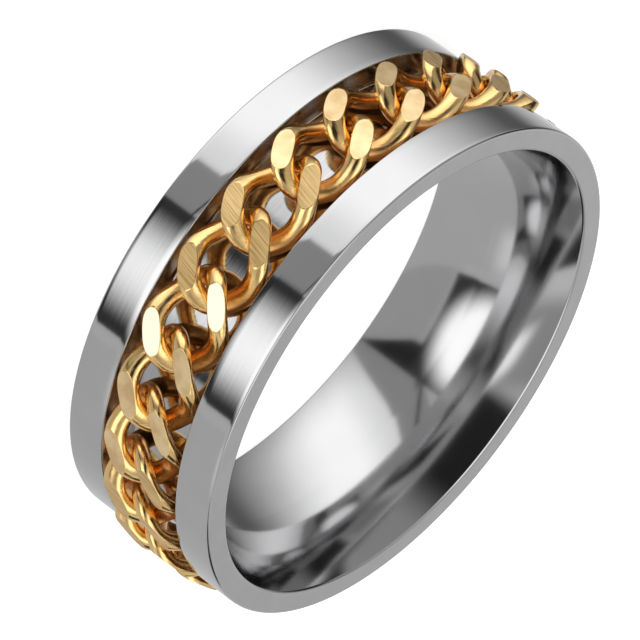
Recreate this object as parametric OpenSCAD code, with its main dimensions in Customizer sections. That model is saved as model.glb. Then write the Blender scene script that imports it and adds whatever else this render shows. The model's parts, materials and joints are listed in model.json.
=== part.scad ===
// Spinner ring lying on its side: a polished band with a groove round its
// outside, and a closed curb chain that turns freely in the groove.
// Millimetres. +Z is the finger's direction, the lower side face is at Z = 0
// and the origin is on the ring's axis.

/* [Finger hole] */
// Diameter of the finger hole along its straight middle
finger_d = 20.2; // [16:0.1:22.5]
// Length of the straight middle of the finger hole
straight_w = 0.8; // [0.4:0.1:1.6]
// How far the domed inside opens out before its edge is rounded off
dome_rise = 0.75; // [0.4:0.01:0.9]
// Radius of the rounded inner edges
inner_edge_r = 0.15; // [0.1:0.05:0.4]

/* [Band] */
// Width of the band along the finger
band_w = 8; // [7:0.1:10]
// Wall from the finger hole to the outside, beside the groove
band_wall = 1.87; // [1.7:0.01:2.2]
// Radius of the rounded outer edges
outer_edge_r = 0.1; // [0.05:0.01:0.3]

/* [Groove] */
// Width of the groove that the chain runs in
groove_w = 4.2; // [3.9:0.1:4.6]
// Wall left between the groove's floor and the finger hole
groove_wall = 0.8; // [0.7:0.05:1]
// Radius of the rounded edges at the groove's mouth
mouth_edge_r = 0.06; // [0.03:0.01:0.15]

/* [Chain] */
// Distance from link to link round the chain, before it is evened out
link_pitch = 2.93; // [2.75:0.01:3.1]
// Width of a link's wire, across the wire in the link's own plane
wire_w = 0.96; // [0.85:0.01:1.02]
// Thickness of a link's wire, across the link's own plane
wire_t = 0.73; // [0.65:0.01:0.8]
// Height of a link between its ground outer and inner flats
link_h = 1.3; // [1.2:0.05:1.45]
// Angle by which each end of a link is twisted out of its middle plane
link_twist = 34.5; // [32:0.5:40]
// Where the chain stands in its turn, as the angle of the first link
chain_turn = 13.45; // [0:0.05:14.4]

/* [Clearances] */
// Gap between the chain and each wall of the groove
side_play = 0.15; // [0.1:0.05:0.3]
// Gap between the chain and the groove's floor
floor_play = 0.1; // [0.05:0.01:0.2]
// Slack between the wires of two neighbouring links, shared by both
link_play = 0.1; // [0.08:0.01:0.14]

/* [Hidden] */
// Sides of the meshed wire, and stations round a link
wire_sides = 6;
link_sides = 16;
// Half the step in degrees over which the wire's direction is taken
slope_step = 1;
// Margin by which cutting shapes run past what they cut
past = 1;
// Straight steps that stand for the arc of a rounded outer edge
edge_steps = 4;
// Steps in a full circle of the dome's arc, of an inner edge and of the band
dome_steps = 720;
inner_edge_steps = 96;
band_steps = 180;
// Reach of the cut that rounds an inner edge, in radii of that edge
cut_reach = 3;

half_band = band_w / 2;
bore_r = finger_d / 2;
outer_r = bore_r + band_wall;
floor_r = bore_r + groove_wall;

// Centre of the rounding circle at an inner edge, from the ring's axis and
// from the band's middle, and the radius of the dome that runs into it
round_x = bore_r + dome_rise + inner_edge_r;
round_y = half_band - inner_edge_r;
dome_run = round_y - straight_w / 2;
dome_r = (pow(round_x - bore_r, 2) + pow(dome_run, 2) - pow(inner_edge_r, 2)) / (2 * dome_rise);
// Angle at which the dome and the rounding circle touch
touch_angle = 180 - asin(dome_run / (dome_r - inner_edge_r));

chain_r = floor_r + floor_play + link_h / 2;
link_count = round(2 * PI * chain_r / link_pitch);
link_step = 360 / link_count;
chain_pitch = 2 * PI * chain_r / link_count;
// Half length and half width of the oval that a link's wire follows
half_l = (chain_pitch + wire_w + link_play) / 2;
half_w = (groove_w - wire_w) / 2 - side_play;

function two_digits(number) = str(number < 10 ? "0" : "", number);
function link_name(number) = str("link_", two_digits(number));

// A quarter arc about the given centre, clockwise from the given angle
function rounded_edge(centre, radius, start) =
    [
        for (step = [0 : edge_steps])
            let (angle = start - 90 * step / edge_steps)
            centre + radius * [cos(angle), sin(angle)]
    ];

function mirrored(outline) =
    [
        for (index = [len(outline) - 1 : -1 : 0])
            [outline[index][0], -outline[index][1]]
    ];

// Half of the band's outer outline, from its upper side face to its middle
upper_outline = concat(
    [[bore_r - past, half_band]],
    rounded_edge([outer_r - outer_edge_r, half_band - outer_edge_r], outer_edge_r, 90),
    rounded_edge([outer_r - mouth_edge_r, groove_w / 2 + mouth_edge_r], mouth_edge_r, 0),
    [[floor_r, groove_w / 2]]
);

// The domed half of the finger side: what lies outside the dome's arc
module dome_half() {
    intersection() {
        translate([bore_r + dome_r, straight_w / 2])
            circle(r = dome_r, $fn = dome_steps);
        translate([bore_r - past, straight_w / 2])
            square([band_wall + 2 * past, half_band]);
    }
}

// The corner that rounding takes off an inner edge
module inner_edge_cut() {
    reach = cut_reach * inner_edge_r;
    difference() {
        translate([round_x, round_y])
            polygon([
                [0, 0],
                [0, reach],
                [-reach, reach],
                reach * [cos(touch_angle), sin(touch_angle)]
            ]);
        translate([round_x, round_y])
            circle(r = inner_edge_r, $fn = inner_edge_steps);
    }
}

module band_section() {
    difference() {
        intersection() {
            polygon(concat(upper_outline, mirrored(upper_outline)));
            union() {
                translate([bore_r, -straight_w / 2])
                    square([band_wall + past, straight_w]);
                dome_half();
                mirror([0, 1])
                    dome_half();
            }
        }
        inner_edge_cut();
        mirror([0, 1])
            inner_edge_cut();
    }
}

module band() {
    color([0.76, 0.77, 0.78])
        translate([0, 0, half_band])
            rotate_extrude($fn = band_steps)
                band_section();
}

// A link is drawn with X away from the finger, Y round the ring and Z along
// the finger, and with its own middle at the origin.
function unit(vector) = vector / norm(vector);

// Twist of the link's plane at the angle t round its oval
function twist_at(t) = -link_twist * sin(90 * cos(t));

function wire_centre(t) =
    [
        half_w * sin(t) * sin(twist_at(t)),
        half_l * cos(t),
        half_w * sin(t) * cos(twist_at(t))
    ];

// The wire's oval section at t, square to the wire's direction
function wire_section(t) =
    let (
        along = unit(wire_centre(t + slope_step) - wire_centre(t - slope_step)),
        across = unit(cross([cos(twist_at(t)), 0, -sin(twist_at(t))], along)),
        upward = cross(along, across)
    )
    [
        for (side = [0 : wire_sides - 1])
            let (turn = 360 * side / wire_sides)
            wire_centre(t)
                + wire_w / 2 * cos(turn) * across
                + wire_t / 2 * sin(turn) * upward
    ];

module link_wire() {
    points = [
        for (station = [0 : link_sides - 1])
            each wire_section(360 * station / link_sides)
    ];
    faces = [
        for (station = [0 : link_sides - 1])
            for (side = [0 : wire_sides - 1])
                let (
                    here = station * wire_sides,
                    next = (station + 1) % link_sides * wire_sides,
                    other = (side + 1) % wire_sides
                )
                each [
                    [here + side, next + side, next + other],
                    [here + side, next + other, here + other]
                ]
    ];
    polyhedron(points = points, faces = faces, convexity = 4);
}

// One curb link: the twisted wire loop, ground flat outside and inside
module link(number) {
    color([0.86, 0.66, 0.32])
        rotate([0, 0, chain_turn + (number - 1) * link_step])
            translate([chain_r, 0, half_band])
                intersection() {
                    link_wire();
                    cube([link_h, 2 * (half_l + wire_w), 2 * (half_w + wire_w)], center = true);
                }
}

band();
for (number = [1 : link_count])
    link(number);
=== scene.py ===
import json
import math

import bpy
import numpy as np
from mathutils import Matrix, Vector


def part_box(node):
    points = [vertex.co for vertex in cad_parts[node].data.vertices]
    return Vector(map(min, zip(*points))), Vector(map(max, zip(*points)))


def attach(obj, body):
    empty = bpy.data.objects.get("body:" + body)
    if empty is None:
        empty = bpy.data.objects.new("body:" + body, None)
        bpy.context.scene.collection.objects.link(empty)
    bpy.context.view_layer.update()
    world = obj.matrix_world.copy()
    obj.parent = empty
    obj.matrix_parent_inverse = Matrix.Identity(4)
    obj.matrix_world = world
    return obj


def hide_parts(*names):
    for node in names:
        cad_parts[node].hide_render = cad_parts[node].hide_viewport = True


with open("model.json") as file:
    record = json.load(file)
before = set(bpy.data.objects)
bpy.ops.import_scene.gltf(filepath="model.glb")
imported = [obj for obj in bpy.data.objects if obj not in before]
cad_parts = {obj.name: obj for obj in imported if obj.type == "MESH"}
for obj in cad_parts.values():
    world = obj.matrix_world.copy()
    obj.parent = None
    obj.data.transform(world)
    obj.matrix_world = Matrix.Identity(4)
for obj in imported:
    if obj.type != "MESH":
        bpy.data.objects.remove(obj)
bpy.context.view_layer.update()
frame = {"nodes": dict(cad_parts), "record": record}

MM = 0.001

# The band, in millimetres from the ring's axis and from its middle plane
band_low, band_high = (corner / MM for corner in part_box("band"))
half_band = (band_high.z - band_low.z) / 2
outer_r = band_high.x
bore_r = frame["record"]["mounts"][0]["dims"]["r_mm"]
# Half the straight middle of the finger side, and how far its dome opens out
straight_half = 0.1
dome_rise = 0.75
inner_edge_r = 0.15
# Where the side face's finish begins on the rounded inner edge, in degrees
lapped_from = 130
face_edge_r = 0.1
# The outside rounds over a little beside its edges: two widths, and the slope it ends with
outer_crown_w = 0.15
groove_crown_w = 0.3
crown_end = 3.7
mouth_edge_r = 0.06
groove_half = 2.1
groove_wall = 0.8
floor_r = bore_r + groove_wall
floor_corner_r = 0.12

# The chain. A link has X away from the finger, Y round the ring and Z along the finger
wire_w = 0.96
wire_t = 0.73
link_h = 1.3
link_twist = math.radians(34.5)
# Where the first link stands round the ring, in degrees
chain_turn = 13.45
side_play = 0.15
floor_play = 0.1
link_play = 0.1
# Width of the soft rim round a flat
rim_w = 0.025
link_names = sorted(name for name in frame["nodes"] if name.startswith("link_"))
link_count = len(link_names)
chain_r = floor_r + floor_play + link_h / 2
chain_pitch = 2 * math.pi * chain_r / link_count
link_half_l = (chain_pitch + wire_w + link_play) / 2
link_half_w = groove_half - wire_w / 2 - side_play

# Base colours, each from its darker tone to its lighter one
POLISHED_STEEL = (0.53, 0.53, 0.54), (0.60, 0.60, 0.60)
SATIN_STEEL = (0.46, 0.46, 0.47), (0.54, 0.54, 0.54)
TURNED_STEEL = (0.40, 0.40, 0.41), (0.60, 0.60, 0.60)
DRAWN_GOLD = (0.90, 0.57, 0.21), (1.0, 0.72, 0.34)
GROUND_GOLD = (0.76, 0.53, 0.26), (0.98, 0.75, 0.43)
SCORED_GOLD = (0.56, 0.35, 0.13), (0.98, 0.69, 0.31)
# The groove walls' lighter, warmer tone below the mouth
WARM_WALL_TONE = (0.80, 0.68, 0.58)
# Paler gold painted on some links' flats as a highlight
PAINTED_HIGHLIGHT_GOLD = (0.90, 0.83, 0.62)
# Browner gold painted into the chain's recesses as shade
PAINTED_SHADE_GOLD = (0.98, 0.50, 0.17)


# Shader maths

class Value:
    """A socket in a node tree. Python's operators on it add Math nodes."""

    def __init__(self, shading, socket):
        self.shading = shading
        self.socket = socket

    def math(self, operation, *others):
        values = dict(enumerate((self, *others)))
        return self.shading.node("ShaderNodeMath", {"operation": operation}, values)

    def reflected(self, operation, first):
        return self.shading.node("ShaderNodeMath", {"operation": operation}, {0: first, 1: self})

    def __add__(self, other):
        return self.math("ADD", other)

    def __sub__(self, other):
        return self.math("SUBTRACT", other)

    def __rsub__(self, other):
        return self.reflected("SUBTRACT", other)

    def __mul__(self, other):
        return self.math("MULTIPLY", other)

    def __truediv__(self, other):
        return self.math("DIVIDE", other)

    def __rtruediv__(self, other):
        return self.reflected("DIVIDE", other)

    __radd__ = __add__
    __rmul__ = __mul__


class Shading:
    """The node tree of a material or of the world."""

    # Sockets of a Mix node that mixes colours
    first_colour, second_colour, mixed_colour = 6, 7, 2

    def __init__(self, owner):
        owner.use_nodes = True
        self.tree = owner.node_tree
        self.tree.nodes.clear()

    def node(self, kind, settings, values, output=0):
        """Adds a node, sets it up, fills its sockets with values or links, and gives one output."""
        made = self.tree.nodes.new(kind)
        for name, setting in settings.items():
            setattr(made, name, setting)
        for name, value in values.items():
            if isinstance(value, Value):
                self.tree.links.new(value.socket, made.inputs[name])
            elif isinstance(value, tuple) and made.inputs[name].type == "RGBA":
                made.inputs[name].default_value = (*value, 1)
            else:
                made.inputs[name].default_value = value
        return Value(self, made.outputs[output]) if made.outputs else None

    def parts(self, vector):
        """The three numbers of a vector."""
        made = self.node("ShaderNodeSeparateXYZ", {}, {"Vector": vector})
        return [Value(self, made.socket.node.outputs[k]) for k in range(3)]

    def vector(self, x, y, z):
        return self.node("ShaderNodeCombineXYZ", {}, {"X": x, "Y": y, "Z": z})

    def ease(self, value, low, high):
        """0 below low, 1 above high, and a smooth step between."""
        values = {"Value": value, "From Min": low, "From Max": high}
        return self.node("ShaderNodeMapRange", {"interpolation_type": "SMOOTHSTEP"}, values)

    def between(self, value, low, high, soft):
        """1 from low to high, with edges that fade over twice soft."""
        rising = self.ease(value, low - soft, low + soft)
        return rising * (1 - self.ease(value, high - soft, high + soft))

    def noise(self, place, scale, detail=3.0, roughness=0.55):
        values = {"Vector": place, "Scale": scale, "Detail": detail, "Roughness": roughness}
        return self.node("ShaderNodeTexNoise", {}, values)

    def blend(self, mask, first, second):
        """A colour that goes from first to second as mask goes from 0 to 1."""
        values = {"Factor": mask, self.first_colour: first, self.second_colour: second}
        return self.node("ShaderNodeMix", {"data_type": "RGBA"}, values, output=self.mixed_colour)

    def place(self):
        """The point in the piece's own frame, in millimetres."""
        own = self.node("ShaderNodeTexCoord", {}, {}, output="Object")
        settings = {"operation": "SCALE"}
        return self.node("ShaderNodeVectorMath", settings, {0: own, "Scale": 1 / MM})

    def link_number(self):
        """The number that each link carries, from 0."""
        return self.node("ShaderNodeObjectInfo", {}, {}, output="Object Index")

    def recurring(self, number, first, every, low, high):
        """1 at the link numbered first and again every so many links, 0 well away from them."""
        wave = ((number - first) * (2 * math.pi / every)).math("COSINE")
        return self.ease(wave, low, high)


# Steel and gold

def new_metal(name):
    material = bpy.data.materials.new(name)
    return material, Shading(material)


def finish_metal(shading, colour, roughness, height, strength, depth=0.01):
    """Closes a metal's tree: height, from 0 to 1, is a relief of depth millimetres."""
    relief = shading.node("ShaderNodeBump", {}, {
        "Strength": strength, "Distance": depth * MM, "Height": height})
    metal = shading.node("ShaderNodeBsdfPrincipled", {}, {
        "Base Color": colour, "Metallic": 1.0, "Roughness": roughness, "Normal": relief})
    shading.node("ShaderNodeOutputMaterial", {}, {"Surface": metal})


def polished_steel(name, streak, roughness, strength):
    """Mirror polish with fine lines round the ring, streak to the millimetre, and clouding."""
    material, shading = new_metal(name)
    place = shading.place()
    x, y, z = shading.parts(place)
    lines = shading.noise(shading.vector(x * 0.25, y * 0.25, z * streak), 1.0, 4.0)
    cloud = shading.noise(place, 0.35, 2.0)
    colour = shading.blend(cloud, *POLISHED_STEEL)
    finish_metal(shading, colour, roughness + cloud * 0.05, lines, strength)
    return material


def satin_steel(name):
    """The side faces: fine marks across them from the lapping wheel, even and grey."""
    material, shading = new_metal(name)
    place = shading.place()
    x, y, _ = shading.parts(place)
    radius = (x * x + y * y).math("SQRT")
    round_scale = 90 / radius
    marks = shading.noise(shading.vector(x * round_scale, y * round_scale, radius * 1.5), 1.0)
    cloud = shading.noise(place, 0.8)
    colour = shading.blend(cloud, *SATIN_STEEL)
    finish_metal(shading, colour, 0.3 + marks * 0.1, marks, 0.25)
    return material


def turned_steel(name):
    """The groove: a bright turned floor, and walls that are duller, and lighter and warmer below the
    mouth.
    """
    material, shading = new_metal(name)
    x, y, z = shading.parts(shading.place())
    lines = shading.noise(shading.vector(x * 0.15, y * 0.15, z * 14), 1.0, 4.0)
    radius = (x * x + y * y).math("SQRT")
    wall = shading.ease(radius, floor_r + 0.05, floor_r + 0.25)
    # The walls turn lighter and warmer from near the floor to just below the mouth
    warm_wall = wall * (1 - shading.ease(radius, outer_r - 0.4, outer_r - 0.15))
    colour = shading.blend(warm_wall, shading.blend(lines, *TURNED_STEEL), WARM_WALL_TONE)
    finish_metal(shading, colour, 0.05 + lines * 0.07 + wall * 0.14, lines, 0.2)
    return material


def gold_with_painted_recess_shade(shading, bright):
    """Gold that goes from bright at a link's outside to brown in the chain's recesses, a painted
    shade, and how deep in them a point lies, from 0 to 1."""
    outward, _, _ = shading.parts(shading.place())
    # Painted shade: towards the finger side of a link, where the recesses are, the gold turns brown
    recess = 1 - shading.ease(outward, -0.6, 0.35)
    return shading.blend(recess, bright, PAINTED_SHADE_GOLD), recess


def polished_gold(name):
    """The wire of the links: bright, with drawn lines along it, duller in the recesses, where its brown
    is painted shade.
    """
    material, shading = new_metal(name)
    around, along, _ = shading.parts(shading.node("ShaderNodeTexCoord", {}, {}, output="UV"))
    turn = along * (2 * math.pi)
    across = around * 34 + shading.link_number() * 5.3
    lines = shading.noise(shading.vector(across, turn.math("COSINE"), turn.math("SINE")), 1.0, 4.0)
    wave = shading.noise(shading.place(), 1.6, 2.0)
    grain = shading.noise(shading.place(), 6.0, 2.0)
    # The wire's colour takes painted shade in the recesses
    colour, recess = gold_with_painted_recess_shade(shading, shading.blend(lines, *DRAWN_GOLD))
    roughness = 0.1 + wave * 0.1 + recess * 0.2
    height = lines * 0.6 + wave + grain * recess
    finish_metal(shading, colour, roughness, height, 0.35, depth=0.03)
    return material


def ground_gold(name):
    """The ground flats: clouded, with fine scored lines that are deeper on some links than on
    others, paler on every twelfth link from link 19 as a painted highlight, and browner in the recesses
    as painted shade."""
    material, shading = new_metal(name)
    x, y, z = shading.parts(shading.place())
    number = shading.link_number()
    cloud = shading.noise(shading.vector(x, y + number * 3.1, z), 1.1)
    plain = shading.blend(shading.ease(cloud, 0.3, 0.7), *GROUND_GOLD)
    lines = shading.noise(shading.vector(x, (y - z * 0.25) * 38 + number * 7.7, z * 0.7), 1.0, 2.0)
    score = shading.ease(lines, 0.36, 0.6)
    depth = shading.recurring(number, 17.6, 5, 0.3, 0.9)
    colour = shading.blend(depth, plain, shading.blend(score, *SCORED_GOLD))
    # Painted highlight: every twelfth link from link 19 gets paler, glossier flats
    painted_highlight = shading.recurring(number, 19, 12, 0.9, 0.99)
    # The flats' colour takes painted shade in the recesses too
    colour, recess = gold_with_painted_recess_shade(shading, shading.blend(painted_highlight, colour, PAINTED_HIGHLIGHT_GOLD))
    finish_metal(shading, colour, 0.38 - painted_highlight * 0.2 + recess * 0.1, score * depth, 0.3)
    return material


# Meshes

def make_mesh(name, points, normals, faces, finishes, materials, corners=None):
    """A smooth mesh with the given normals; finishes says which material each face takes."""
    mesh = bpy.data.meshes.new(name)
    mesh.from_pydata((np.asarray(points) * MM).tolist(), [], faces)
    for material in materials:
        mesh.materials.append(material)
    mesh.polygons.foreach_set("material_index", finishes)
    mesh.polygons.foreach_set("use_smooth", [True] * len(faces))
    if corners is not None:
        mesh.uv_layers.new(name="wire").data.foreach_set("uv", corners)
    mesh.validate()
    mesh.normals_split_custom_set_from_vertices(np.asarray(normals).tolist())
    mesh.update()
    made = bpy.data.objects.new(name, mesh)
    bpy.context.scene.collection.objects.link(made)
    return made


def arc(centre, radius, start, end, steps, hollow=False):
    """Points and normals along an arc; angles in degrees from the outward direction."""
    angles = np.radians(np.linspace(start, end, steps + 1))
    ways = np.stack([np.cos(angles), np.sin(angles)], 1)
    return np.hstack([np.array(centre) + radius * ways, -ways if hollow else ways])


def straight(first, last, way, steps):
    """Points along a line with one normal, both ends left to the arcs beside it."""
    share = np.linspace(0, 1, steps + 1)[1:-1, None]
    points = np.array(first) * (1 - share) + np.array(last) * share
    return np.hstack([points, np.tile(way, (len(points), 1))])


POLISHED_OUT, SATIN, POLISHED_IN, TURNED = range(4)


def finger_side():
    """The finger side's upper half: the dome, and the rounded edge up to the side face."""
    edge_r = bore_r + dome_rise + inner_edge_r
    edge_z = half_band - inner_edge_r
    run = edge_z - straight_half
    dome_r = ((edge_r - bore_r) ** 2 + run ** 2 - inner_edge_r ** 2) / (2 * dome_rise)
    touch = 180 - math.degrees(math.asin(run / (dome_r - inner_edge_r)))
    return [
        (POLISHED_IN, np.array([[bore_r, 0.0, -1.0, 0.0]])),
        (POLISHED_IN, arc((bore_r + dome_r, straight_half), dome_r, 180, touch, 24)),
        (POLISHED_IN, arc((edge_r, edge_z), inner_edge_r, touch, lapped_from, 5)[1:]),
        (SATIN, arc((edge_r, edge_z), inner_edge_r, lapped_from, 90, 6)[1:]),
    ]


def outer_side():
    """The side face, the outside with its slightly rounded edges, and the groove."""
    lean = math.radians(crown_end)
    outer_crown_r = outer_crown_w / math.sin(lean)
    groove_crown_r = groove_crown_w / math.sin(lean)
    inner_edge = (bore_r + dome_rise + inner_edge_r, half_band)
    face_r = outer_r - outer_crown_r * (1 - math.cos(lean)) - face_edge_r * math.cos(lean)
    face_z = half_band - face_edge_r
    mouth_r = outer_r - groove_crown_r * (1 - math.cos(lean)) - mouth_edge_r * math.cos(lean)
    mouth_z = groove_half + mouth_edge_r
    upper_z = face_z + face_edge_r * math.sin(lean) - outer_crown_w
    lower_z = mouth_z - mouth_edge_r * math.sin(lean) + groove_crown_w
    outer_crown = (outer_r - outer_crown_r, upper_z)
    groove_crown = (outer_r - groove_crown_r, lower_z)
    corner = (floor_r + floor_corner_r, groove_half - floor_corner_r)
    return [
        (SATIN, straight(inner_edge, (face_r, half_band), (0.0, 1.0), 4)),
        (POLISHED_OUT, arc((face_r, face_z), face_edge_r, 90, crown_end, 10)),
        (POLISHED_OUT, arc(outer_crown, outer_crown_r, crown_end, 0, 8)[1:]),
        (POLISHED_OUT, straight((outer_r, upper_z), (outer_r, lower_z), (1.0, 0.0), 4)),
        (POLISHED_OUT, arc(groove_crown, groove_crown_r, 0, -crown_end, 8)),
        (TURNED, arc((mouth_r, mouth_z), mouth_edge_r, -crown_end, -90, 5)[1:]),
        (TURNED, arc(corner, floor_corner_r, 90, 180, 5, hollow=True)),
        (TURNED, np.array([[floor_r, 0.0, 1.0, 0.0]])),
    ]


def build_band():
    """The steel band, its section swept round the axis."""
    turns = 360
    rows = []
    kinds = []
    for kind, stretch in finger_side() + outer_side():
        rows.extend(stretch)
        kinds.extend([kind] * len(stretch))
    half = np.array(rows)
    mirrored = half[-2:0:-1] * [1, -1, 1, -1]
    outline = np.vstack([half, mirrored])
    kinds = kinds[:-1] + kinds[-2::-1]
    count = len(outline)
    around = np.linspace(0, 2 * math.pi, turns, endpoint=False)
    cos, sin = np.cos(around)[:, None], np.sin(around)[:, None]
    r, z, out, up = outline.T
    points = np.stack([cos * r, sin * r, np.tile(z + half_band, (turns, 1))], -1).reshape(-1, 3)
    normals = np.stack([cos * out, sin * out, np.tile(up, (turns, 1))], -1).reshape(-1, 3)
    faces = []
    finishes = []
    for turn in range(turns):
        here, there = turn * count, (turn + 1) % turns * count
        for k in range(count):
            after = (k + 1) % count
            faces.append((here + k, here + after, there + after, there + k))
            finishes.append(kinds[k])
    materials = [
        polished_steel("polished steel outside", 9.0, 0.045, 0.07),
        satin_steel("satin steel"),
        polished_steel("polished steel inside", 4.0, 0.08, 0.06),
        turned_steel("turned steel"),
    ]
    band = make_mesh("steel_band", points, normals, faces, finishes, materials)
    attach(band, "band_body")
    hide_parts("band")


def unit(vectors):
    return vectors / np.linalg.norm(vectors, axis=-1, keepdims=True)


def wire_line(t):
    """Middle of a link's wire, an oval whose two ends are twisted opposite ways, and the twist."""
    twist = -link_twist * np.sin(math.pi / 2 * np.cos(t))
    return np.stack([
        link_half_w * np.sin(t) * np.sin(twist),
        link_half_l * np.cos(t),
        link_half_w * np.sin(t) * np.cos(twist)], -1), twist


def wire_frame(t):
    """Middle of a link's wire, and the ways across its width and its thickness."""
    step = 0.002
    centre, twist = wire_line(t)
    along = unit(wire_line(t + step)[0] - wire_line(t - step)[0])
    flat_way = np.stack([np.cos(twist), 0 * twist, -np.sin(twist)], -1)
    across = unit(np.cross(flat_way, along))
    return centre, across, np.cross(along, across)


WIRE, FLAT = range(2)


def link_faces(stations, count, shows_at):
    """A link's faces, the finish of each, and its corners on the wire's map. shows_at gives
    the columns where a flat starts, and the stations at which it shows."""
    faces = []
    finishes = []
    corners = []
    for station in range(stations):
        after = (station + 1) % stations
        here, there = station / stations, (station + 1) / stations
        for k in range(count):
            beside = (k + 1) % count
            left, right = k / count, (k + 1) / count
            corners.extend((left, here, right, here, right, there, left, there))
            faces.append((station * count + k, station * count + beside,
                          after * count + beside, after * count + k))
            shows = shows_at.get(k)
            ground = shows is not None and shows[station] and shows[after]
            finishes.append(FLAT if ground else WIRE)
    return faces, finishes, corners


def link_shape(stations=144, side_steps=11):
    """Points, normals, faces, finishes and corners of one link, with its two flats."""
    centre, across, upward = wire_frame(np.linspace(0, 2 * math.pi, stations, endpoint=False))
    a, b = wire_w / 2, wire_t / 2

    def on_wire(turn):
        point = centre + a * np.cos(turn)[:, None] * across + b * np.sin(turn)[:, None] * upward
        way = unit(np.cos(turn)[:, None] / a * across + np.sin(turn)[:, None] / b * upward)
        return point, way

    def flat_pair(middle, half, shows, side):
        """The two edges of a flat, set in from its rim; where none shows they close up."""
        first, first_way = on_wire(middle - half)
        last, last_way = on_wire(middle + half)
        width = np.linalg.norm(last - first, axis=1, keepdims=True)
        widest_rim, no_width = 0.4, 1e-6
        inset = np.minimum(rim_w / np.maximum(width, no_width), widest_rim)
        edges = [(first + (last - first) * inset, first_way), (last + (first - last) * inset, last_way)]
        face = np.array([side, 0.0, 0.0])
        return [(point, np.where(shows[:, None], face, way)) for point, way in edges]

    def flat_half(cut):
        """Half the turn round the wire that a flat takes up, from the cosine at its edge."""
        return np.maximum(np.arccos(np.clip(cut, -1, 1)), math.radians(1))

    def rim(half):
        """The turn round the wire that the soft rim beside a flat takes up."""
        return 0.9 * np.minimum(rim_w / math.sqrt(a * b), half)

    def bare_side(start, end):
        """The wire between two flats."""
        return [on_wire(start + (end - start) * k / side_steps) for k in range(side_steps + 1)]

    # The wire's highest and lowest points, and how far from them the grinding cuts
    reach = np.hypot(a * across[:, 0], b * upward[:, 0])
    top_turn = np.arctan2(b * upward[:, 0], a * across[:, 0])
    low_turn = top_turn + math.pi
    top_cut = (link_h / 2 - centre[:, 0]) / reach
    low_cut = (link_h / 2 + centre[:, 0]) / reach
    top_half, low_half = flat_half(top_cut), flat_half(low_cut)
    top_reach, low_reach = top_half + rim(top_half), low_half + rim(low_half)
    outer_half = flat_pair(top_turn, top_half, top_cut < 1, 1.0)
    outer_half += bare_side(top_turn + top_reach, low_turn - low_reach)
    inner_half = flat_pair(low_turn, low_half, low_cut < 1, -1.0)
    inner_half += bare_side(low_turn + low_reach, top_turn + 2 * math.pi - top_reach)
    columns = outer_half + inner_half
    points = np.stack([point for point, _ in columns], 1).reshape(-1, 3)
    normals = np.stack([way for _, way in columns], 1).reshape(-1, 3)
    shows_at = {0: top_cut < 1, len(outer_half): low_cut < 1}
    return (points, normals, *link_faces(stations, len(columns), shows_at))


def build_chain():
    """The closed curb chain: each link turned to its place round the groove."""
    points, normals, faces, finishes, corners = link_shape()
    wire, flats = polished_gold("polished gold"), ground_gold("ground gold")
    for number, name in enumerate(link_names):
        link = make_mesh("gold_" + name, points, normals, faces, finishes, [wire, flats], corners)
        link.pass_index = number
        turn = math.radians(chain_turn + number * 360 / link_count)
        link.matrix_world = (
            Matrix.Rotation(turn, 4, "Z")
            @ Matrix.Translation((chain_r * MM, 0, half_band * MM))
        )
        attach(link, "chain_loop")
        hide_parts(name)


# Studio

def build_floor():
    """A plain pale floor. The metal doesn't mirror it, so the light boxes show there instead."""
    half_side = 1.2
    mesh = bpy.data.meshes.new("floor")
    corners = [(x * half_side, y * half_side, 0) for x, y in ((-1, -1), (1, -1), (1, 1), (-1, 1))]
    mesh.from_pydata(corners, [], [(0, 1, 2, 3)])
    floor = bpy.data.objects.new("floor", mesh)
    bpy.context.scene.collection.objects.link(floor)
    material = bpy.data.materials.new("pale floor")
    shading = Shading(material)
    lit = shading.node("ShaderNodeBsdfDiffuse", {}, {"Color": (0.9, 0.9, 0.9)})
    glow = shading.node("ShaderNodeEmission", {}, {"Strength": 0.5})
    shade = shading.node("ShaderNodeAddShader", {}, {0: lit, 1: glow})
    shading.node("ShaderNodeOutputMaterial", {}, {"Surface": shade})
    mesh.materials.append(material)
    floor.visible_glossy = False
    floor.visible_shadow = False


def build_surroundings():
    """What the metal mirrors, by direction: light boxes, dark gaps and a grey room, before a
    white ground that the camera alone sees. The bearing of a direction is its angle about the
    finger's axis, 0 towards the camera, and its rise is its angle above level, in degrees."""
    world = bpy.data.worlds.new("studio")
    bpy.context.scene.world = world
    shading = Shading(world)
    way = shading.node("ShaderNodeTexCoord", {}, {}, output="Generated")
    x, y, z = shading.parts(way)
    to_degrees = 180 / math.pi
    bearing = x.math("ARCTAN2", 0 - y) * to_degrees
    rise = z.math("ARCSINE") * to_degrees
    level = grey_room(shading, bearing)
    masks = boxes_below_level(shading, bearing, rise) + space_above_level(shading, bearing, rise)
    for mask, target in masks:
        level = level + (target - level) * mask
    seen = shading.node("ShaderNodeLightPath", {}, {}, output="Is Camera Ray")
    white_ground = 0.97
    level = level + (white_ground - level) * seen
    glow = shading.node("ShaderNodeBackground", {}, {"Color": (1, 1, 1), "Strength": level})
    shading.node("ShaderNodeOutputWorld", {}, {"Surface": glow})


def grey_room(shading, bearing):
    """The room's own grey: darkest at one side, lighter behind the object."""
    ease = shading.ease
    side_dip = ease(bearing, -154, -134) * (1 - ease(bearing, -131, -98))
    behind = 1 - ease(bearing, -172, -152)
    return 0.57 - 0.44 * side_dip + 0.24 * behind + 0.05 * ease(bearing, 130, 160)


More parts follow.
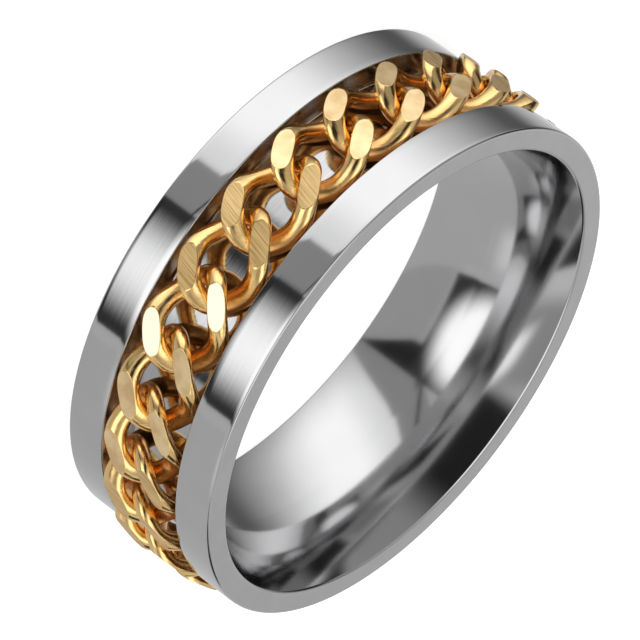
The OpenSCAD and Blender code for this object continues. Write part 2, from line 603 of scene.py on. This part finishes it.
def boxes_below_level(shading, bearing, rise):
    """Masks and the brightness each gives, laid over one another in order."""
    ease, between = shading.ease, shading.between
    lower = 1 - ease(rise, 1, 5)
    # The large box to the left, its near edge bent at the direction that upright steel
    # mirrors and soft below it, and the dull panel between the box and the camera
    above = rise + 26
    bend = (above * above + 64).math("SQRT") * 0.3
    near_side = bearing + above * 0.45 + bend - 2.4
    soft = 3 + (0 - above).math("MAXIMUM", 0) * 0.12
    left_box = ease(near_side, -112, -60) * (1 - ease((near_side + 20) / soft, -1, 1))
    left_box = left_box * (1 - 0.45 * ease(near_side, -48, -22)) * ease(rise, -88, -44) * lower
    dull_panel = between(near_side, -20, 1, 0.8) * lower
    # The soft round box on the right before its dark card, and the card's shadow below
    card = between(bearing, 0, 59, 0.5) * between(rise, -35.5, -8, 1)
    across, height = (bearing - 29) / 29, (rise + 14) / 21
    round_box = 1 - ease((across * across + height * height).math("SQRT"), 0.5, 1.1)
    under_card = between(bearing, 1, 61, 1) * (1 - ease(rise, -40, -34))
    shadow = ease(bearing, -0.5, 0.5) * between(rise, -74, -34, 1) * (1 - ease(bearing, 15, 18))
    shadow = shadow * (1 - ease(bearing - (rise + 74) * 0.5, -1, 1))
    crease = between(bearing + above * 1.4, -1, 2, 1) * between(rise, -28, -10, 1)
    gap = between(bearing, 60, 65, 1) * between(rise, -34, -10, 3)
    halo = between(bearing, 68, 92, 8) * between(rise, -22, -4, 5)
    return [
        (left_box, 1.6),
        (dull_panel, 0.36),
        (card, 0.035),
        (round_box, 1.72),
        (under_card, 0.46),
        (shadow, 0.02),
        (crease, 0.04),
        (gap, 0.62),
        (halo, 0.92),
    ]


def space_above_level(shading, bearing, rise):
    """Masks and brightness again: dark spaces, paler walls and lamps, and a box overhead that
    draws a bright line along the outer edge."""
    ease, between = shading.ease, shading.between
    upper = ease(rise, 1, 5) * (1 - ease(rise, 28, 38))
    left_end = ease(bearing + rise * 1.2, -90, -74)
    left_wall = left_end * (1 - ease(bearing, -36, -26)) * upper
    right_wall = between(bearing - rise * 0.6, 14, 88, 7) * upper
    right_lamp = between(bearing - rise * 0.8, 60, 84, 9) * upper
    glint = between(bearing - rise * 2, 10, 36, 8) * between(rise, 1, 8, 3)
    behind_camera = ease(bearing, -58, -28) * (1 - ease(bearing, 11, 22)) * between(rise, 4.5, 30, 1.5)
    dark_end = 1 - ease(bearing + rise * 1.2, -92, -76)
    left_dark = ease(bearing, -140, -128) * dark_end * upper
    low_dark = between(bearing, -105, -50, 8) * between(rise, 1.5, 4.5, 1.5)
    right_dark = between(bearing - rise * 1.4, 76, 122, 3) * upper
    overhead_box = between(bearing, -45, 92, 10) * between(rise, 44, 75, 5)
    return [
        (left_wall, 0.35),
        (behind_camera, 0.02),
        (right_wall, 0.38),
        (right_lamp, 0.75),
        (glint, 1.5),
        (left_dark, 0.03),
        (low_dark, 0.1),
        (right_dark, 0.03),
        (overhead_box, 1.6),
    ]


def build_overhead():
    """A broad soft light on the floor alone, so that the surroundings set the metal's look."""
    light = bpy.data.lights.new("overhead", "SUN")
    light.energy = 1.0
    light.angle = math.radians(70)
    overhead = bpy.data.objects.new("overhead", light)
    way = Vector((0.1, -0.45, 1.0))
    overhead.rotation_euler = way.to_track_quat("Z", "Y").to_euler()
    overhead.visible_glossy = False
    bpy.context.scene.collection.objects.link(overhead)


def build_camera():
    """The photograph's view: 26 degrees above level, rolled 126 degrees. Where the view's
    middle lies from the ring's, and the camera's distance, are in millimetres."""
    rise = math.radians(25.94)
    roll = math.radians(126.3)
    to_right, to_top, distance = -0.776, 0.1148, 279.6
    back = Vector((0, -math.cos(rise), math.sin(rise)))
    level_up = Vector((0, math.sin(rise), math.cos(rise)))
    right = Vector((math.cos(roll), 0, 0)) + level_up * math.sin(roll)
    up = back.cross(right)
    data = bpy.data.cameras.new("camera")
    data.sensor_width = 36
    data.lens = 375.55
    data.clip_start = 0.01
    data.clip_end = 10
    camera = bpy.data.objects.new("camera", data)
    middle = Vector((0, 0, half_band)) + right * to_right + up * to_top
    place = (middle + back * distance) * MM
    turn = Matrix((right, up, back)).transposed().to_4x4()
    camera.matrix_world = Matrix.Translation(place) @ turn
    bpy.context.scene.collection.objects.link(camera)
    bpy.context.scene.camera = camera


bpy.context.scene.view_settings.view_transform = "Standard"
build_camera()
build_band()
build_chain()
build_floor()
build_surroundings()
build_overhead()
